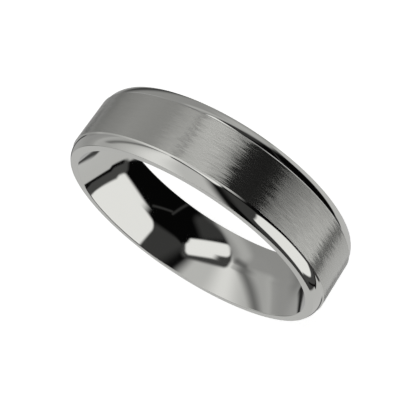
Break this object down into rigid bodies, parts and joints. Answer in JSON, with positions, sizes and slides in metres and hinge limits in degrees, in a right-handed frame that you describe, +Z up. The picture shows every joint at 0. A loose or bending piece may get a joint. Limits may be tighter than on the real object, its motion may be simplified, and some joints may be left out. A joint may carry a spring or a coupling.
{
  "type": "wedding band",
  "caption": "Plain wedding band with a flat satin belt, rounded polished shoulders and a comfort-fit bore.",
  "frame": {"origin": "centre of the bore, halfway across the band's width", "axes": "+Y along the bore's axis, +Z up with the ring standing on its rim, +X across"},
  "size_m": [0.024, 0.006, 0.024],
  "materials": {
    "white_metal": "belt brushed satin around the ring, shoulders, side faces and bore mirror polished"
  },
  "bodies": {
    "root": {"band": "white_metal"}
  },
  "joints": []
}
